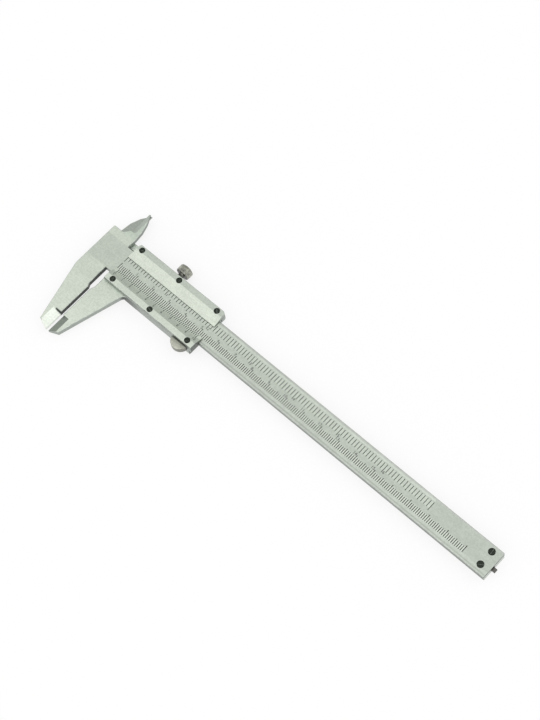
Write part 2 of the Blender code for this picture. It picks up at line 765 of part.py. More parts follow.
def make_depth_rod():
    """Flat rod in the beam's back groove, stepped at its tip, and the rivet at its root."""
    tip = BEAM_REACH
    side_view = [
        (rod_root, rod_low),
        (tip, rod_low),
        (tip, rod_high - ROD_STEP),
        (tip - ROD_STEP_LENGTH, rod_high - ROD_STEP),
        (tip - ROD_STEP_LENGTH, rod_high),
        (rod_root, rod_high),
    ]
    half = ROD_WIDTH / 2
    mesh = prism(side_view, ROD_OFFSET - half, ROD_OFFSET + half, DRAWN_ON_XZ)
    rod = add_part("depth_rod", mesh, slider_datum, rod_steel)
    spot = Matrix.Translation((rivet_place, ROD_OFFSET, 0))
    shank = RIVET_SHANK / 2
    hole = cylinder(shank + HOLE_GAP, rod_low - CUT_MARGIN, rod_high + CUT_MARGIN, spot)
    combine(rod, "rivet_hole", hole, "DIFFERENCE")

    head = RIVET_HEAD / 2
    head_top = RIVET_RECESS + RIVET_HEAD_HEIGHT
    profile = [
        (0, rod_high),
        (shank, rod_high),
        (shank, head_top),
        (head, head_top),
        (head, RIVET_RECESS),
        (0, RIVET_RECESS),
    ]
    add_part("depth_rod_rivet", turned(profile), slider_datum, rivet_steel, spot)


def thumb_pin_hole():
    """The hole that the thumb rest's pin shares between the lower rail and the lobe."""
    place = Matrix.Translation((thumb_place, 0, (thumb_low + thumb_high) / 2)) @ ALONG_Y
    reach = PIN_DEPTH + HOLE_GAP
    return cylinder(PIN_DIAMETER / 2 + HOLE_GAP, thumb_seat - reach, lower_outer + reach, place)


def make_thumb_rest():
    """Round lobe under the lower rail with softened rims, and the pin that holds it."""
    centre = (thumb_place, thumb_seat - THUMB_REACH + THUMB_RADIUS)
    half_angle = math.acos((THUMB_RADIUS - THUMB_REACH) / THUMB_RADIUS)
    outline = arc(centre, THUMB_RADIUS, -math.pi / 2 - half_angle, -math.pi / 2 + half_angle)
    mesh = prism(outline, thumb_low, thumb_high)
    rest = add_part("thumb_rest", mesh, slider_datum, thumb_nickel)
    soften = rest.modifiers.new("rims", "BEVEL")
    soften.width = THUMB_EDGE
    soften.segments = RIM_STEPS
    soften.limit_method = "ANGLE"
    soften.angle_limit = SHARP_ANGLE
    combine(rest, "pin_hole", thumb_pin_hole(), "DIFFERENCE")

    place = Matrix.Translation((thumb_place, 0, (thumb_low + thumb_high) / 2)) @ ALONG_Y
    pin = cylinder(PIN_DIAMETER / 2, thumb_seat - PIN_DEPTH, lower_outer + PIN_DEPTH, place)
    add_part("thumb_rest_pin", pin, slider_datum, pin_steel)


def knurled_outline():
    """The lock screw's rim, seen along its axis: flat-topped teeth round a circle."""
    outer = LOCK_HEAD / 2
    inner = outer - KNURL_DEPTH
    pitch = 2 * math.pi / KNURL_TEETH
    points = []
    for tooth in range(KNURL_TEETH):
        for share, radius in zip((0, KNURL_VALLEY, KNURL_RISE, KNURL_CREST), (inner, inner, outer, outer)):
            angle = (tooth + share) * pitch
            points.append((radius * math.cos(angle), radius * math.sin(angle)))
    return points


def make_lock_screw():
    """Knurled screw through the upper rail, drawn about its own axis with zero on the gib's face."""
    shank_start = SEAT_GAP
    collar = upper_outer + SEAT_GAP - gib_outer
    head_low = collar + LOCK_NECK_LENGTH
    head_high = head_low + LOCK_HEAD_HEIGHT
    rim = LOCK_HEAD / 2
    place = Matrix.Translation((lock_place, gib_outer, beam_middle)) @ ALONG_Y

    head = prism(knurled_outline(), head_low, head_high)
    screw = add_part("lock_screw", head, slider_datum, lock_nickel, place)
    chamfered = [
        (0, head_high + LOCK_CROWN),
        (rim - LOCK_HEAD_CHAMFER, head_high + LOCK_CROWN),
        (rim, head_high - LOCK_HEAD_CHAMFER),
        (rim, head_low + LOCK_HEAD_CHAMFER),
        (rim - LOCK_HEAD_CHAMFER, head_low - LOCK_CROWN),
        (0, head_low - LOCK_CROWN),
    ]
    combine(screw, "rim_chamfer", turned(chamfered), "INTERSECT")
    neck = LOCK_NECK / 2
    shank = LOCK_SHANK / 2
    stem = [
        (0, head_high + LOCK_CROWN),
        (rim - 2 * LOCK_HEAD_CHAMFER, head_high + LOCK_CROWN),
        (rim - LOCK_HEAD_CHAMFER, head_high - LOCK_CROWN),
        (neck, head_high - LOCK_CROWN),
        (neck, collar),
        (shank, collar),
        (shank, shank_start),
        (0, shank_start),
    ]
    combine(screw, "stem", turned(stem), "UNION")


for leftover in list(bpy.data.objects):
    bpy.data.objects.remove(leftover, do_unlink=True)
caliper = new_collection("vernier_caliper")
cutters = new_collection("cutters")

# The datum sits so that the part's origin is the bottom centre of its box
beam_datum = bpy.data.objects.new("beam_datum", None)
caliper.objects.link(beam_datum)
middle_x = (BEAM_REACH + OPENING - HEAD_WIDTH) / 2
middle_y = (blade_tip + jaw_tip) / 2
beam_datum.location = (-middle_x, -middle_y, 0)
slider_datum = bpy.data.objects.new("slider_datum", None)
caliper.objects.link(slider_datum)
slider_datum.parent = beam_datum
slider_datum.location = (OPENING, 0, 0)

beam_steel = metal("beam_steel", (0.52, 0.54, 0.51), 0.38)
end_plate_steel = metal("end_plate_steel", (0.50, 0.52, 0.49), 0.40)
end_screw_black = metal("end_screw_black", (0.05, 0.055, 0.05), 0.45)
slider_steel = metal("slider_steel", (0.60, 0.63, 0.59), 0.36)
upper_plate_steel = metal("upper_plate_steel", (0.62, 0.65, 0.60), 0.40)
lower_plate_steel = metal("lower_plate_steel", (0.60, 0.63, 0.59), 0.40)
plate_screw_black = metal("plate_screw_black", (0.05, 0.055, 0.05), 0.45)
gib_bronze = metal("gib_bronze", (0.55, 0.36, 0.16), 0.35)
gib_screw_steel = metal("gib_screw_steel", (0.20, 0.20, 0.20), 0.40)
rod_steel = metal("rod_steel", (0.45, 0.45, 0.42), 0.35)
rivet_steel = metal("rivet_steel", (0.50, 0.50, 0.48), 0.40)
thumb_nickel = metal("thumb_nickel", (0.47, 0.48, 0.41), 0.35)
pin_steel = metal("pin_steel", (0.50, 0.50, 0.48), 0.40)
lock_nickel = metal("lock_nickel", (0.40, 0.41, 0.36), 0.32)

make_main_beam()
make_end_stop()
make_slider_body()
make_vernier_plates()
make_gib()
make_depth_rod()
make_thumb_rest()
make_lock_screw()
for item in caliper.objects:
    if item.type == "MESH":
        settle(item)
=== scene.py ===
import json
import math

import bmesh
import bpy
from mathutils import Matrix, Vector


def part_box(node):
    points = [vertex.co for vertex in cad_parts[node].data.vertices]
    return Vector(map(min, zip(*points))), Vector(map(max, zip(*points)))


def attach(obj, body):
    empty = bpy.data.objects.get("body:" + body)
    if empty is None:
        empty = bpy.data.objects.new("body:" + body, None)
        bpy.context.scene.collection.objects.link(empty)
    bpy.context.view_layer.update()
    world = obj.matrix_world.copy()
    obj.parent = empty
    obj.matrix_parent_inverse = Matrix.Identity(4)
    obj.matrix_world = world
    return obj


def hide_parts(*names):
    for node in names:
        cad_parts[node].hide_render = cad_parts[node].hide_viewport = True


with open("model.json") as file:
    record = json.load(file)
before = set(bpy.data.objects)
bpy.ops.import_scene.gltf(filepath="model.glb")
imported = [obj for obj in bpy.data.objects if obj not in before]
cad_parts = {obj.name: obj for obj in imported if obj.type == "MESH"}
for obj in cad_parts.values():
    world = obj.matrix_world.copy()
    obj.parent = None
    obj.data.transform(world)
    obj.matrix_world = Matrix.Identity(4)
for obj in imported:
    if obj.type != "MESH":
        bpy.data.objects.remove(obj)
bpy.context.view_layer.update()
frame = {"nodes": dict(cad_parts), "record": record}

# Meshes: welding distances, and the least angle between two faces that stays a sharp edge
WELD = 0.000002
MARK_WELD = 0.0000002
SHARP_ANGLE = math.radians(16)

# Slotted screws: a head with a rounded rim and a slightly dished top, each slot left at its own angle
SCREW_STEPS = 48
SCREW_HEAD_HEIGHT = 0.0009
SCREW_SHANK = 0.0014
SCREW_RIM = 0.0002
SCREW_RIM_STEPS = 4
SCREW_DISH = 0.00004
SLOT_WIDTH = 0.0004
SLOT_DEPTH = 0.0004
SLOT_TURNS = (20, 75, 140, 110, 165, 50, 95, 35)

# Marks: how far they stand out of a face and reach into it, and their widths
MARK_PROUD = 0.000012
MARK_SUNK = 0.00002
MM_MARK_WIDTH = 0.00036
INCH_MARK_WIDTH = 0.00030
FINE_MARK_WIDTH = 0.00033
COARSE_MARK_WIDTH = 0.00022
NUMERAL_RESOLUTION = 3

# Scales on the beam: heights from its centreline, the ends of the marks by how many steps they divide
MILLIMETRE = 0.001
CENTIMETRE = 0.01
INCH = 0.0254
INCH_PARTS = 16
ZERO_FROM_END = 0.2136
MM_ROW = -0.0042
MM_TOPS = {10: -0.0006, 5: -0.0011, 1: -0.0015}
MM_COUNT = 200
INCH_ROW = 0.0046
INCH_BOTTOMS = {16: 0.0004, 8: 0.0007, 4: 0.0010, 1: 0.0013}
INCH_COUNT = 7
NUMERAL_HEIGHT = 0.0014
NUMERAL_GAP = 0.0004
CENTIMETRE_FLOOR = -0.0011
INCH_FLOOR = 0.0002
LAST_CENTIMETRE = 15
LAST_INCH = 6

# Verniers on the two bevels: zero from the plate's left end, distances up the bevel from its thin edge
LOWER_ZERO = 0.0021
UPPER_ZERO = 0.00177
FINE_DIVISIONS = 50
FINE_SPAN = 0.0490
FINE_LENGTHS = {5: 0.0023, 1: 0.0017}
FINE_NUMBERS = 10
COARSE_DIVISIONS = 8
COARSE_SPAN = 7 / INCH_PARTS * INCH
COARSE_LENGTHS = {4: 0.0024, 1: 0.0017}
COARSE_NUMBERS = (0, 4, 8)
VERNIER_MARGIN = 0.0001
VERNIER_NUMERAL = 0.0013
VERNIER_NUMERAL_LIFT = 0.0003

# Linear colours of the beam
BEAM_COLOUR = (0.680, 0.740, 0.646)
JAW_END_COLOUR = (0.727, 0.791, 0.691)
BAND_START_COLOUR = (0.600, 0.652, 0.574)
BAND_END_COLOUR = (0.525, 0.568, 0.504)
MARGIN_COLOUR = (0.650, 0.698, 0.624)
UPPER_EDGE_START_COLOUR = (0.500, 0.533, 0.480)
UPPER_EDGE_END_COLOUR = (0.560, 0.597, 0.540)
LOWER_MARGIN_COLOUR = (0.592, 0.636, 0.570)
LOWER_LINE_COLOUR = (0.430, 0.465, 0.412)
MM_ROW_COLOUR = (0.690, 0.744, 0.657)
INCH_ROW_COLOUR = (0.625, 0.675, 0.597)
BLADE_COLOUR = (0.605, 0.677, 0.588)
# Painted shade on the blade's bevel, from how it is turned to the light
BLADE_BEVEL_SHADE_COLOUR = (0.540, 0.590, 0.525)
# Painted highlights on the fixed tip's bevel and on the right faces past the tip's shoulder
FIXED_TIP_HIGHLIGHT_COLOUR = (0.790, 0.836, 0.756)
TIP_FACE_HIGHLIGHT_COLOUR = (0.840, 0.880, 0.820)
# Painted shade: a dark reflection on the measuring face, and a shadow line along the tip's shoulder
DEEP_SHADE_COLOUR = (0.050, 0.057, 0.050)
# Painted shade on the beam's side faces
BEAM_SIDE_SHADE_COLOUR = (0.290, 0.312, 0.289)
# Painted shade on the top of the beam's end face, and a painted highlight below it
END_SHADE_COLOUR = (0.170, 0.184, 0.170)
END_FACE_HIGHLIGHT_COLOUR = (0.700, 0.750, 0.680)

# Linear colours of the slider and its plates
SLIDER_COLOUR = (0.677, 0.740, 0.648)
SLIDING_JAW_END_COLOUR = (0.740, 0.808, 0.708)
# Painted shade on the sliding tip's bevel
SLIDING_TIP_SHADE_COLOUR = (0.400, 0.450, 0.392)
# Painted shade on the rear blade, which lies deeper
REAR_BLADE_SHADE_COLOUR = (0.400, 0.437, 0.387)
# Painted shade in the corner where the jaw meets the lower rail
CORNER_SHADE_COLOUR = (0.120, 0.130, 0.120)
# Painted shade on the right ends of the lower rail and the lower plate
RIGHT_END_SHADE_COLOUR = (0.190, 0.205, 0.190)
UPPER_PLATE_COLOUR = (0.582, 0.630, 0.557)
# Painted highlight on the upper plate's bevel
UPPER_BEVEL_HIGHLIGHT_COLOUR = (0.678, 0.730, 0.640)
LOWER_PLATE_COLOUR = (0.698, 0.752, 0.665)
# Painted shade on the lower plate's bevel
LOWER_BEVEL_SHADE_COLOUR = (0.590, 0.648, 0.563)
LOWER_MARKS_COLOUR = (0.772, 0.848, 0.740)
# Painted shade on the lower plate's sides and rims
LOWER_SIDE_SHADE_COLOUR = (0.365, 0.396, 0.365)
LOWER_RIM_SHADE_COLOUR = (0.200, 0.215, 0.195)
# Painted shade on the side faces
SIDE_SHADE_COLOUR = (0.380, 0.412, 0.380)
# Painted shade on the rims, broken up unevenly
RIM_SHADE_COLOUR = (0.42, 0.45, 0.41)

# Linear colours of the small pieces, the marks and the floor
BLACK_COLOUR = (0.020, 0.028, 0.019)
# Painted glint on the floor of the screw slots
SLOT_GLINT_COLOUR = (0.300, 0.330, 0.300)
INK_COLOUR = (0.020, 0.023, 0.019)
FAINT_INK_COLOUR = (0.430, 0.460, 0.410)
LOCK_COLOUR = (0.46, 0.47, 0.41)
# Painted shade on the knob's neck and underside
LOCK_SHADE_COLOUR = (0.120, 0.120, 0.108)
THUMB_COLOUR = (0.665, 0.685, 0.585)
# Painted shade on the thumb rest: towards the rail, on its edges, and a shadow line where it joins the rail
THUMB_SHADED_TOP_COLOUR = (0.365, 0.378, 0.320)
THUMB_EDGE_SHADE_COLOUR = (0.270, 0.277, 0.245)
JOINT_SHADOW_COLOUR = (0.040, 0.038, 0.030)
ROD_COLOUR = (0.150, 0.145, 0.134)
SMALL_STEEL_COLOUR = (0.48, 0.48, 0.46)
BRONZE_COLOUR = (0.60, 0.40, 0.18)
FLOOR_COLOUR = (0.90, 0.90, 0.90)

# Ground metal: roughness, grains to the metre along X, Y and Z, and the levels of noise for each change
GROUND_ROUGHNESS = 0.40
PLATE_ROUGHNESS = 0.42
SMALL_ROUGHNESS = 0.36
LOCK_ROUGHNESS = 0.34
BRONZE_ROUGHNESS = 0.34
GRIND_GRAIN = (60, 5200, 5200)
LOCK_GRAIN = (2400, 2400, 2400)
THUMB_GRAIN = (2400, 400, 2400)
GRIND_DETAIL = 3.0
LINE_LEVELS = (0.40, 0.70)
LINE_SHADE = 0.94
GLOSS_LEVELS = (0.25, 0.75)
GLOSS_CHANGES = (-0.05, 0.06)
SPECK_GRAIN = (2600, 2600, 2600)
SPECK_DETAIL = 2.0
BUMP_STRENGTH = 0.10
BUMP_HEIGHT = 0.00002

# Clouds in the metal: how many to the metre and how dark, for each kind of piece
GROUND_MOTTLE = (160, 0.95)
LOCK_MOTTLE = (900, 0.55)
THUMB_MOTTLE = (900, 0.82)
CLOUD_DETAIL = 4.0
CLOUD_LEVELS = (0.35, 0.65)

# Other textures: grains to the metre along X, Y and Z, detail, and the levels of noise at their two ends
FLECKS = ((1400, 1400, 1400), 2.0, (0.40, 0.60))
FLECK_SHADES = (1.05, 0.95)
# The uneven break-up of the painted shade on the rims
RIM_SHADE_NOISE = ((420, 420, 420), 3.0, (0.40, 0.60))
RIM_SHADE_SHARES = (0.6, 1.0)
INK_CLOUDS = ((900, 900, 900), 3.0, (0.3, 0.7))
INK_LIFT = 1.6
INK_ROUGHNESS = (0.5, 0.7)
FLOOR_CLOUDS = ((3, 3, 3), 2.0, (0.3, 0.7))
FLOOR_LIFT = 1.01
FLOOR_ROUGHNESS = 0.9

# Blackened steel
OXIDE_METALLIC = 0.6
OXIDE_GRAIN = (1400, 1400, 1400)
OXIDE_DETAIL = 4.0
OXIDE_LEVELS = (0.3, 0.7)
OXIDE_ROUGHNESS = (0.38, 0.55)
RUB_LEVELS = (0.52, 0.75)
RUB_SHARE = 0.5
RUB_LIFT = 3.0

# Limits of a finish on a face's normal and in space, with the softness of each
NORMAL_SOFTNESS = 0.02
PLACE_SOFTNESS = 0.0003
SIDES = (-1.0, 0.42)
RIMS = (0.42, 0.77)
BEVELS = (0.79, 0.975)
LEVEL_FACES = (0.90, 2.0)
FACES_RIGHT = (0.90, 2.0)
FACES_DOWN = (-2.0, -0.60)
FAR = 1.0
# Painted shade on the side faces
SHADED_SIDES = (SIDE_SHADE_COLOUR, {"flat": SIDES})
# Painted shade on the rims
SHADED_RIMS = (RIM_SHADE_COLOUR, {"flat": RIMS})

# Where the finish and its painted shade change across the beam, from its centreline, its edges or the tip's
# shoulder
JAW_SLOPE = (-0.012, -0.032)
TIP_SHOULDER = -0.0358
SHOULDER_LINE = (-0.0003, 0.0005)
MARGIN_START = 0.0049
UPPER_EDGE = 0.00095
LOWER_LINE = (0.0008, 0.00125)
BLADE_SLOPE = (0.0085, 0.0125)
REAR_BLADE_START = 0.0112

# Where it changes along the beam: the head, the shoulder's painted shadow line, the end face, and the
# painted shade in the corner from zero
HEAD_WIDTH = 0.0128
SHOULDER_REACH = 0.0030
END_FACE_DEPTH = 0.001
CORNER_SLOPE = (0.0140, 0.0225)
CORNER_REACH = 0.0026

# Where painted shade starts down from a top: on the beam's end face and the knob, and the painted shadow
# line along the thumb rest's top
END_FACE_SHADE = 0.0016
LOCK_SHADE_START = 0.0042
THUMB_JOINT = 0.00025

# Light: a plain sky that is brighter to one side, as under a broad window, and a floor that looks white
SKY_COLOUR = (1, 1, 1, 1)
SKY_LEVEL = 1.045
SKY_LEAN = (0.65, -0.37, 0.25)
SKY_RANGE = (-0.50, 0.26)
FLOOR_SIZE = 20.0
FLOOR_GLOW = 0.78
GLOW_STRENGTH = 1.0

# Camera, in the part's frame: place in metres, turn in degrees, lens and sensor in millimetres
CAMERA_PLACE = (0.26166, -0.18445, 0.72334)
CAMERA_TURN = (25.1455, 5.2050, 43.1385)
CAMERA_LENS = 92.79
CAMERA_SENSOR = 36.0

# Places on the frame: the beam's centreline and edges, its scales' zero, and where the jaws' finish changes
beam_low, beam_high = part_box("main_beam")
stop_low, stop_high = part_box("end_stop_plate")
middle = (stop_low.y + stop_high.y) / 2
beam_vertices = frame["nodes"]["main_beam"].data.vertices
top_edge = max(vertex.co.y for vertex in beam_vertices if vertex.co.x > stop_low.x)
bottom_edge = 2 * middle - top_edge
zero = beam_high.x - ZERO_FROM_END
shoulder = middle + TIP_SHOULDER
jaw_slope = [middle + place for place in JAW_SLOPE]


def add_node(owner, kind, inputs=None, **settings):
    """A shader node with its settings, and its inputs joined to sockets or set to values."""
    tree = owner.node_tree
    made = tree.nodes.new(kind)
    for name, value in settings.items():
        setattr(made, name, value)
    for key, value in (inputs or {}).items():
        if isinstance(value, bpy.types.NodeSocket):
            tree.links.new(value, made.inputs[key])
        else:
            made.inputs[key].default_value = value
    return made


def join(owner, socket, shader, name):
    """Link a socket to one of a shader's inputs."""
    owner.node_tree.links.new(socket, shader.inputs[name])


def blend(owner, share, first, second):
    """The colour that lies the given share of the way from the first to the second."""
    made = add_node(owner, "ShaderNodeMix", data_type="RGBA")
    sockets = {socket.identifier: socket for socket in made.inputs}
    owner.node_tree.links.new(share, sockets["Factor_Float"])
    for key, value in (("A_Color", first), ("B_Color", second)):
        if isinstance(value, bpy.types.NodeSocket):
            owner.node_tree.links.new(value, sockets[key])
        else:
            sockets[key].default_value = (*value, 1.0)
    return next(socket for socket in made.outputs if socket.identifier == "Result_Color")


def ramp(owner, value, low, high, first=0.0, last=1.0):
    """A value's range mapped onto another, held at both ends."""
    ends = {"Value": value, "From Min": low, "From Max": high, "To Min": first, "To Max": last}
    return add_node(owner, "ShaderNodeMapRange", ends).outputs["Result"]


def product(owner, first, second):
    """Two values multiplied."""
    return add_node(owner, "ShaderNodeMath", {0: first, 1: second}, operation="MULTIPLY").outputs[0]


def noise(owner, grains, detail):
    """Noise over the piece's own space, with a number of grains per metre along each axis."""
    where = add_node(owner, "ShaderNodeTexCoord").outputs["Object"]
    spread = add_node(owner, "ShaderNodeMapping", {"Vector": where, "Scale": grains})
    made = add_node(owner, "ShaderNodeTexNoise", {
        "Vector": spread.outputs["Vector"], "Scale": 1.0, "Detail": detail,
    })
    return made.outputs["Fac"]


def texture(owner, look, first=0.0, last=1.0):
    """A texture's noise between its two levels, mapped onto another range."""
    grains, detail, (low, high) = look
    return ramp(owner, noise(owner, grains, detail), low, high, first, last)


def new_material(name, metallic):
    """A Principled material and its shader."""
    made = bpy.data.materials.new(name)
    made.use_nodes = True
    shader = made.node_tree.nodes["Principled BSDF"]
    shader.inputs["Metallic"].default_value = metallic
    return made, shader


def measure(owner, key):
    """A place (X, Y, Z), a part of the face's normal (NX, NY, NZ), or how level the face lies (flat)."""
    source = add_node(owner, "ShaderNodeTexCoord").outputs
    if key in ("X", "Y", "Z"):
        return add_node(owner, "ShaderNodeSeparateXYZ", {"Vector": source["Object"]}).outputs[key]
    parts = add_node(owner, "ShaderNodeSeparateXYZ", {"Vector": source["Normal"]}).outputs
    if key == "flat":
        return add_node(owner, "ShaderNodeMath", {0: parts["Z"]}, operation="ABSOLUTE").outputs[0]
    return parts[key[1]]


def window(owner, limits):
    """One where every measure lies between its two limits and zero outside, with soft ends."""
    share = None
    for key, (low, high) in limits.items():
        value = measure(owner, key)
        soft = PLACE_SOFTNESS if key in ("X", "Y", "Z") else NORMAL_SOFTNESS
        above = ramp(owner, value, low - soft, low + soft)
        inside = product(owner, above, ramp(owner, value, high - soft, high + soft, 1.0, 0.0))
        share = inside if share is None else product(owner, share, inside)
    return share


def shade(owner, colour):
    """A plain colour as it is, or one that changes along an axis between two places."""
    if len(colour) == 3:
        return colour
    axis, (start, end), first, last = colour
    return blend(owner, ramp(owner, measure(owner, axis), start, end), first, last)


def tinted(owner, colour, factor):
    """A plain or a changing colour, made lighter or darker."""
    if isinstance(colour, tuple):
        return tuple(channel * factor for channel in colour)
    scaled = add_node(owner, "ShaderNodeVectorMath", {0: colour, "Scale": factor}, operation="SCALE")
    return scaled.outputs[0]


def satin_metal(name, colour, roughness, grain=GRIND_GRAIN, mottle=GROUND_MOTTLE, layers=()):
    """Ground metal: fine lines along the grain and fine flecks over soft clouds.

    A layer is a colour and the limits between which it lies. Painted shade on the rims is broken up
    unevenly. The mottle is the number of clouds in a metre and how dark they are.
    """
    made, shader = new_material(name, metallic=1.0)
    lines = noise(made, grain, GRIND_DETAIL)
    cloud_count, cloud_shade = mottle
    clouds = texture(made, ((cloud_count,) * 3, CLOUD_DETAIL, CLOUD_LEVELS))

    tone = shade(made, colour)
    for other, limits in layers:
        share = window(made, limits)
        if limits.get("flat") == RIMS:
            share = product(made, share, texture(made, RIM_SHADE_NOISE, *RIM_SHADE_SHARES))
        tone = blend(made, share, tone, shade(made, other))
    tone = blend(made, clouds, tone, tinted(made, tone, cloud_shade))
    tone = blend(made, ramp(made, lines, *LINE_LEVELS), tone, tinted(made, tone, LINE_SHADE))
    light, dark = FLECK_SHADES
    tone = blend(made, texture(made, FLECKS), tinted(made, tone, light), tinted(made, tone, dark))
    join(made, tone, shader, "Base Color")

    glossy, dull = (roughness + change for change in GLOSS_CHANGES)
    join(made, ramp(made, lines, *GLOSS_LEVELS, glossy, dull), shader, "Roughness")

    specks = noise(made, SPECK_GRAIN, SPECK_DETAIL)
    height = add_node(made, "ShaderNodeMath", {0: lines, 1: specks}, operation="ADD").outputs[0]
    bump = add_node(made, "ShaderNodeBump", {
        "Height": height, "Strength": BUMP_STRENGTH, "Distance": BUMP_HEIGHT,
    })
    join(made, bump.outputs["Normal"], shader, "Normal")
    return made


def black_oxide(name, top):
    """Blackened steel with a faint rub of bare metal in its clouds, and a painted glint that makes the slot
    paler below a top.
    """
    made, shader = new_material(name, OXIDE_METALLIC)
    clouds = noise(made, OXIDE_GRAIN, OXIDE_DETAIL)
    rub = ramp(made, clouds, *RUB_LEVELS, 0.0, RUB_SHARE)
    black = blend(made, rub, BLACK_COLOUR, tinted(made, BLACK_COLOUR, RUB_LIFT))
    slot = window(made, {"Z": (-FAR, top - SLOT_DEPTH), "flat": LEVEL_FACES})
    join(made, blend(made, slot, black, SLOT_GLINT_COLOUR), shader, "Base Color")
    join(made, ramp(made, clouds, *OXIDE_LEVELS, *OXIDE_ROUGHNESS), shader, "Roughness")
    return made


def mark_ink(name, colour):
    """Dark filling of the engraved marks, a little uneven along each line."""
    made, shader = new_material(name, metallic=0.0)
    clouds = texture(made, INK_CLOUDS)
    join(made, blend(made, clouds, colour, tinted(made, colour, INK_LIFT)), shader, "Base Color")
    join(made, ramp(made, clouds, 0.0, 1.0, *INK_ROUGHNESS), shader, "Roughness")
    return made


def beam_metal():
    """The beam's finish: a band darker to the far end, pale rows behind the marks, a painted highlight at
    the tip, painted shade on the sides.
    """
    tone = ("Y", jaw_slope, BEAM_COLOUR, JAW_END_COLOUR)
    band = ("X", (beam_low.x, beam_high.x), BAND_START_COLOUR, BAND_END_COLOUR)
    upper_edge = ("X", (zero, beam_high.x), UPPER_EDGE_START_COLOUR, UPPER_EDGE_END_COLOUR)
    blade = ("Y", [middle + place for place in BLADE_SLOPE], BEAM_COLOUR, BLADE_COLOUR)
    past_zero = (zero, FAR)
    millimetres = (zero, zero + MM_COUNT * MILLIMETRE)
    inches = (zero, zero + INCH_COUNT * INCH)
    shoulder_line = [shoulder + place for place in SHOULDER_LINE]
    shoulder_reach = (beam_low.x + HEAD_WIDTH - SHOULDER_REACH, FAR)
    end_face = (beam_high.x - END_FACE_DEPTH, FAR)
    return satin_metal("satin_beam", tone, GROUND_ROUGHNESS, layers=[
        (band, {"Y": (bottom_edge, top_edge)}),
        (MARGIN_COLOUR, {"Y": (middle + MARGIN_START, top_edge), "X": inches}),
        (upper_edge, {"Y": (top_edge - UPPER_EDGE, top_edge), "X": past_zero}),
        (LOWER_MARGIN_COLOUR, {"Y": (bottom_edge, middle + MM_ROW), "X": past_zero}),
        (LOWER_LINE_COLOUR, {"Y": [bottom_edge + place for place in LOWER_LINE], "X": past_zero}),
        (blade, {"Y": (top_edge, FAR)}),
        (MM_ROW_COLOUR, {"Y": (middle + MM_ROW, middle + MM_TOPS[1]), "X": millimetres}),
        (INCH_ROW_COLOUR, {"Y": (middle + INCH_BOTTOMS[1], middle + INCH_ROW), "X": inches}),
        (FIXED_TIP_HIGHLIGHT_COLOUR, {"flat": BEVELS, "Y": (-FAR, middle)}),
        (BLADE_BEVEL_SHADE_COLOUR, {"flat": BEVELS, "Y": (middle, FAR)}),
        (BEAM_SIDE_SHADE_COLOUR, {"flat": SIDES}),
        SHADED_RIMS,
        (DEEP_SHADE_COLOUR, {"NX": FACES_RIGHT, "Y": (shoulder, bottom_edge)}),
        (TIP_FACE_HIGHLIGHT_COLOUR, {"NX": FACES_RIGHT, "Y": (-FAR, shoulder)}),
        (END_SHADE_COLOUR, {"NX": FACES_RIGHT, "X": end_face}),
        (END_FACE_HIGHLIGHT_COLOUR, {"NX": FACES_RIGHT, "X": end_face, "Z": (-FAR, beam_high.z - END_FACE_SHADE)}),
        (DEEP_SHADE_COLOUR, {"Y": shoulder_line, "X": shoulder_reach}),
    ])


def slider_metal():
    """The slider's finish, with painted shade at the ground tip, the rear blade, the sides and the jaw's
    corner.
    """
    tone = ("Y", jaw_slope, SLIDER_COLOUR, SLIDING_JAW_END_COLOUR)
    corner_start, corner_end = (zero + place for place in CORNER_SLOPE)
    corner = ("X", (corner_start, corner_end), CORNER_SHADE_COLOUR, SIDE_SHADE_COLOUR)
    below_beam = (-FAR, bottom_edge)
    return satin_metal("satin_slider", tone, GROUND_ROUGHNESS, layers=[
        (REAR_BLADE_SHADE_COLOUR, {"Y": (middle + REAR_BLADE_START, FAR)}),
        (SLIDING_TIP_SHADE_COLOUR, {"flat": BEVELS, "Y": (-FAR, middle)}),
        SHADED_SIDES,
        (corner, {"flat": SIDES, "X": (corner_start - CORNER_REACH, FAR), "Y": below_beam}),
        SHADED_RIMS,
        (RIGHT_END_SHADE_COLOUR, {"NX": FACES_RIGHT, "X": (corner_end, FAR), "Y": below_beam}),
    ])


def upper_plate_metal():
    """The upper vernier plate's finish, with a painted highlight on its bevel."""
    return satin_metal("satin_upper_plate", UPPER_PLATE_COLOUR, PLATE_ROUGHNESS, layers=[
        (UPPER_BEVEL_HIGHLIGHT_COLOUR, {"flat": BEVELS}),
        SHADED_SIDES,
        SHADED_RIMS,
    ])


def lower_plate_metal():
    """The lower vernier plate's finish, with painted shade on its bevel, which is pale behind the marks."""
    thin_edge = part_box("lower_vernier_plate")[1].y
    return satin_metal("satin_lower_plate", LOWER_PLATE_COLOUR, PLATE_ROUGHNESS, layers=[
        (LOWER_BEVEL_SHADE_COLOUR, {"flat": BEVELS}),
        (LOWER_MARKS_COLOUR, {"flat": BEVELS, "Y": (thin_edge - FINE_LENGTHS[1], FAR)}),
        (LOWER_SIDE_SHADE_COLOUR, {"flat": SIDES}),
        (LOWER_RIM_SHADE_COLOUR, {"flat": RIMS}),
        (RIGHT_END_SHADE_COLOUR, {"NX": FACES_RIGHT}),
    ])


def end_plate_metal():
    """The end stop plate's finish, of the beam's metal, with painted shade on its sides and rims."""
    layers = [SHADED_SIDES, SHADED_RIMS]
    return satin_metal("satin_end_plate", BEAM_COLOUR, GROUND_ROUGHNESS, layers=layers)


def lock_metal():
    """The knob's mottled nickel, with painted shade below its head."""
    shade_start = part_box("lock_screw")[1].y - LOCK_SHADE_START
    return satin_metal("turned_nickel", LOCK_COLOUR, LOCK_ROUGHNESS, LOCK_GRAIN, LOCK_MOTTLE, layers=[
        (LOCK_SHADE_COLOUR, {"Y": (-FAR, shade_start)}),
        (LOCK_SHADE_COLOUR, {"NY": FACES_DOWN}),
    ])


